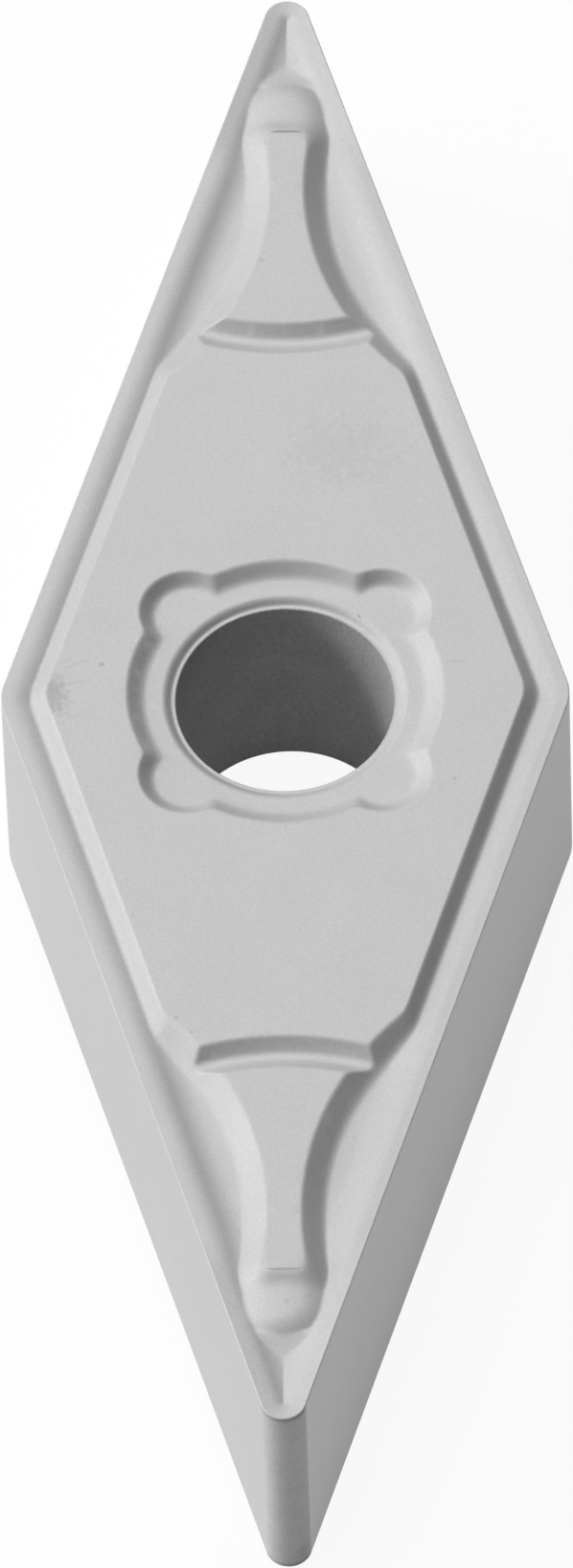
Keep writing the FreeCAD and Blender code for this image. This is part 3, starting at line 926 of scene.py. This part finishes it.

# %% [markdown]
# One function makes each material. It places the grain, hands its tone from mark to mark, and scales
# the grey with it. The nose is the odd one out: painted shade darkens its narrow wall over the turn,
# from the left flank's tone to the right, with a painted dark crescent just under the cutting edge.

# %% Building a finish


def new_material(name):
    """A material and its empty node tree."""
    material = bpy.data.materials.new(name)
    material.use_nodes = True
    material.node_tree.nodes.clear()
    return material, material.node_tree


def carbide(name, grey, roughness, metallic, grain, marks=(), tone=None):
    """Carbide finish: grain, then marks, then the nose's painted shade where given, all scaling one grey."""
    material, tree = new_material(name)
    powder = add(tree, "Group", grain, node_tree=grain_group)
    level = powder.outputs["Tone"]
    for values in marks:
        level = add(tree, "Group", {"Tone": level, **values}, node_tree=mark_group).outputs["Tone"]
    # the tone function, given only for the nose, is painted shade
    if tone:
        level = math_node(tree, "MULTIPLY", level, tone(tree))
    colour = add(tree, "VectorMath", {0: (grey, grey, grey * 1.01), "Scale": level}, operation="SCALE")
    shader = add(tree, "BsdfPrincipled", {
        "Base Color": colour.outputs[0], "Normal": powder.outputs["Normal"],
        "Roughness": roughness, "Metallic": metallic,
    })
    add(tree, "OutputMaterial", {"Surface": shader.outputs["BSDF"]})
    insert_mesh.materials.append(material)
    print(name, ":", len(tree.nodes), "nodes,", len(marks), "marks")


def nose_painted_shade(tree):
    """Painted shade over the nose's turn, by x, and a painted crescent of shade, by the height over the
    mid-plane.
    """
    split = add(tree, "SeparateXYZ", {0: add(tree, "TexCoord").outputs["Object"]}).outputs
    # painted shade: the nose darkens from its left side to this share on its right
    right_side_shade = 0.66
    turn = ramp(tree, split["X"], -0.4 * MM, 0.08 * MM, 1.0, right_side_shade)
    height = math_node(tree, "ABSOLUTE", math_node(tree, "SUBTRACT", split["Z"], overall_height / 2 * MM))
    # painted shade: a dark crescent just under the cutting edge, stronger on the right
    crescent_foot, crescent_full = 2.2 * MM, 2.36 * MM
    crescent_shade = ramp(tree, height, crescent_foot, crescent_full, 0.0, 1.0)
    left_strength, right_strength = 0.25, 0.6
    strength = ramp(tree, split["X"], -0.3 * MM, 0.3 * MM, left_strength, right_strength, "LINEAR")
    dark = math_node(tree, "SUBTRACT", 1.0, math_node(tree, "MULTIPLY", crescent_shade, strength))
    return math_node(tree, "MULTIPLY", turn, dark)


# %% [markdown]
# The six finishes follow in the order of their numbers. After each name stand its grey, its roughness
# and how metallic it is. Ground face and skin look nearly alike. The bore is blotchy, and its darker
# grey is painted shade; the honed edge's lighter grey is painted light.

# %% The six finishes
carbide("sintered_skin", 0.56, 0.65, 0.35, {"Grain": 0.24, "Mottle": 0.08, "Relief": 1.6e-6}, skin_marks)
carbide("ground_face", 0.56, 0.65, 0.35, {"Grain": 0.24, "Mottle": 0.06, "Relief": 1.2e-6}, ground_marks_and_shade)
# painted shade: the bore's grey is darker than the faces' grey, for the shade inside the hole
carbide("bore_wall", 0.51, 0.7, 0.1, {"Grain": 0.7, "Mottle": 0.3, "Grains": 16000.0})
carbide("flank_wall", 0.555, 0.5, 0.4, {"Grain": 0.24, "Mottle": 0.06, "Patches": 600.0})
nose_grain = {"Grain": 0.3, "Mottle": 0.2, "Stretch": (0.5, 0.5, 1), "Patches": 3000.0}
carbide("nose_round", 0.555, 0.5, 0.4, nose_grain, nose_foot_shade, nose_painted_shade)
# painted light: a lighter grey than the faces, which brightens the narrow round of the cutting edge
carbide("honed_edge", 0.62, 0.8, 0.1, {"Grain": 0.2, "Mottle": 0.1})

# %% [markdown]
# ## The paper
# The insert lies on a wide sheet of pale paper. To the camera the sheet should read as nearly white,
# as in a catalogue picture, and still take the shadow. So the paper mixes a diffuse grey with a white
# glow: only rays from the camera see most of the glow, other rays see plain paper. Reflections on the
# insert may mirror the glow as well, but not from underneath it, where no light comes out. A diamond
# shaped mask keeps the glow off that place.

# %% Paper
reach = 3.0
glow_share = 0.925
mask_start, mask_end = 0.85, 1.02  # in shares of the insert's half width and half length
floor_mesh = bpy.data.meshes.new("floor")
floor_corners = [(-reach, -reach, 0), (reach, -reach, 0), (reach, reach, 0), (-reach, reach, 0)]
floor_mesh.from_pydata(floor_corners, [], [(0, 1, 2, 3)])
floor = bpy.data.objects.new("floor", floor_mesh)
bpy.context.collection.objects.link(floor)
paper, tree = new_material("paper")
split = add(tree, "SeparateXYZ", {0: add(tree, "TexCoord").outputs["Object"]}).outputs
across = math_node(tree, "DIVIDE", math_node(tree, "ABSOLUTE", split["X"]), high.x)
along = math_node(tree, "DIVIDE", math_node(tree, "ABSOLUTE", split["Y"]), high.y)
open_paper = ramp(tree, math_node(tree, "ADD", across, along), mask_start, mask_end, 0.0, 1.0)
rays = add(tree, "LightPath").outputs
mirrored = math_node(tree, "MULTIPLY", rays["Is Glossy Ray"], open_paper)
seen = math_node(tree, "MAXIMUM", rays["Is Camera Ray"], mirrored)
glowing = math_node(tree, "MULTIPLY", seen, glow_share)
sheet = add(tree, "BsdfDiffuse", {"Color": (0.86, 0.86, 0.86, 1)})
glow = add(tree, "Emission")
mix = add(tree, "MixShader", {0: glowing, 1: sheet.outputs[0], 2: glow.outputs[0]})
add(tree, "OutputMaterial", {"Surface": mix.outputs[0]})
floor_mesh.materials.append(paper)
print("paper:", len(tree.nodes), "nodes, glow kept out of", 2 * high.x, "by", 2 * high.y, "metres")

# %% [markdown]
# ## The lights
# The tones of the photo tell where its lights stood. Each lamp was rendered alone, and the strengths
# were then chosen together so that the walls, the rims and the lands come out in the photo's greys.
# Walls that face left are bright and those that face right are dark, so the key light stands on the
# left. Another shines from behind over the whole face, and a broad low one brightens the left flank.

# %% Lights
world = bpy.data.worlds.new("room")
bpy.context.scene.world = world
world.use_nodes = True
background = world.node_tree.nodes["Background"].inputs
background["Color"].default_value = (1, 1, 1, 1)
background["Strength"].default_value = 0.02
lamp_distance = 0.6


def softbox(name, azimuth, elevation, width, height, power):
    """Area light on a dome round the insert, turned towards it; azimuth 0 is on the camera's side."""
    turn, rise = math.radians(azimuth), math.radians(elevation)
    level = math.cos(rise)
    place = mathutils.Vector((math.sin(turn) * level, -math.cos(turn) * level, math.sin(rise)))
    data = bpy.data.lights.new(name, "AREA")
    data.shape = "RECTANGLE"
    data.size, data.size_y, data.energy = width, height, power
    lamp = bpy.data.objects.new(name, data)
    lamp.location = place * lamp_distance
    lamp.rotation_euler = place.to_track_quat("Z", "Y").to_euler()
    bpy.context.collection.objects.link(lamp)
    print(name, "stands at azimuth", azimuth, "elevation", elevation, "with", power, "W")


softbox("key", -102, 39, 0.2, 0.2, 1.73)
softbox("left_front", -60, 55, 0.35, 0.35, 0.32)
softbox("left_low", -90, 12, 0.8, 0.25, 1.2)
softbox("behind", -170, 62, 0.35, 0.35, 2.06)

# %% [markdown]
# ## The camera
# A long lens far away, looking down at 56 degrees, as the shortened width of the round bore shows.
# Its three directions are written out instead of angles, because the photo is turned by a degree.

# %% Camera
eye = mathutils.Vector((0.006948, -0.215381, 0.322019))
right = mathutils.Vector((0.999787, 0.001841, -0.020575))
up = mathutils.Vector((0.009962, 0.829576, 0.558311))
back = right.cross(up)
camera_data = bpy.data.cameras.new("camera")
camera_data.lens = 505.94
camera_data.clip_start, camera_data.clip_end = 0.05, 20
camera = bpy.data.objects.new("camera", camera_data)
camera.matrix_world = mathutils.Matrix((*zip(right, up, back, eye), (0, 0, 0, 1)))
bpy.context.collection.objects.link(camera)
bpy.context.scene.camera = camera
bpy.context.scene.view_settings.view_transform = "Standard"
looking_down = math.degrees(math.asin(back.z))
print("camera", round(eye.length, 3), "m away, looking down by", round(looking_down, 1), "degrees")
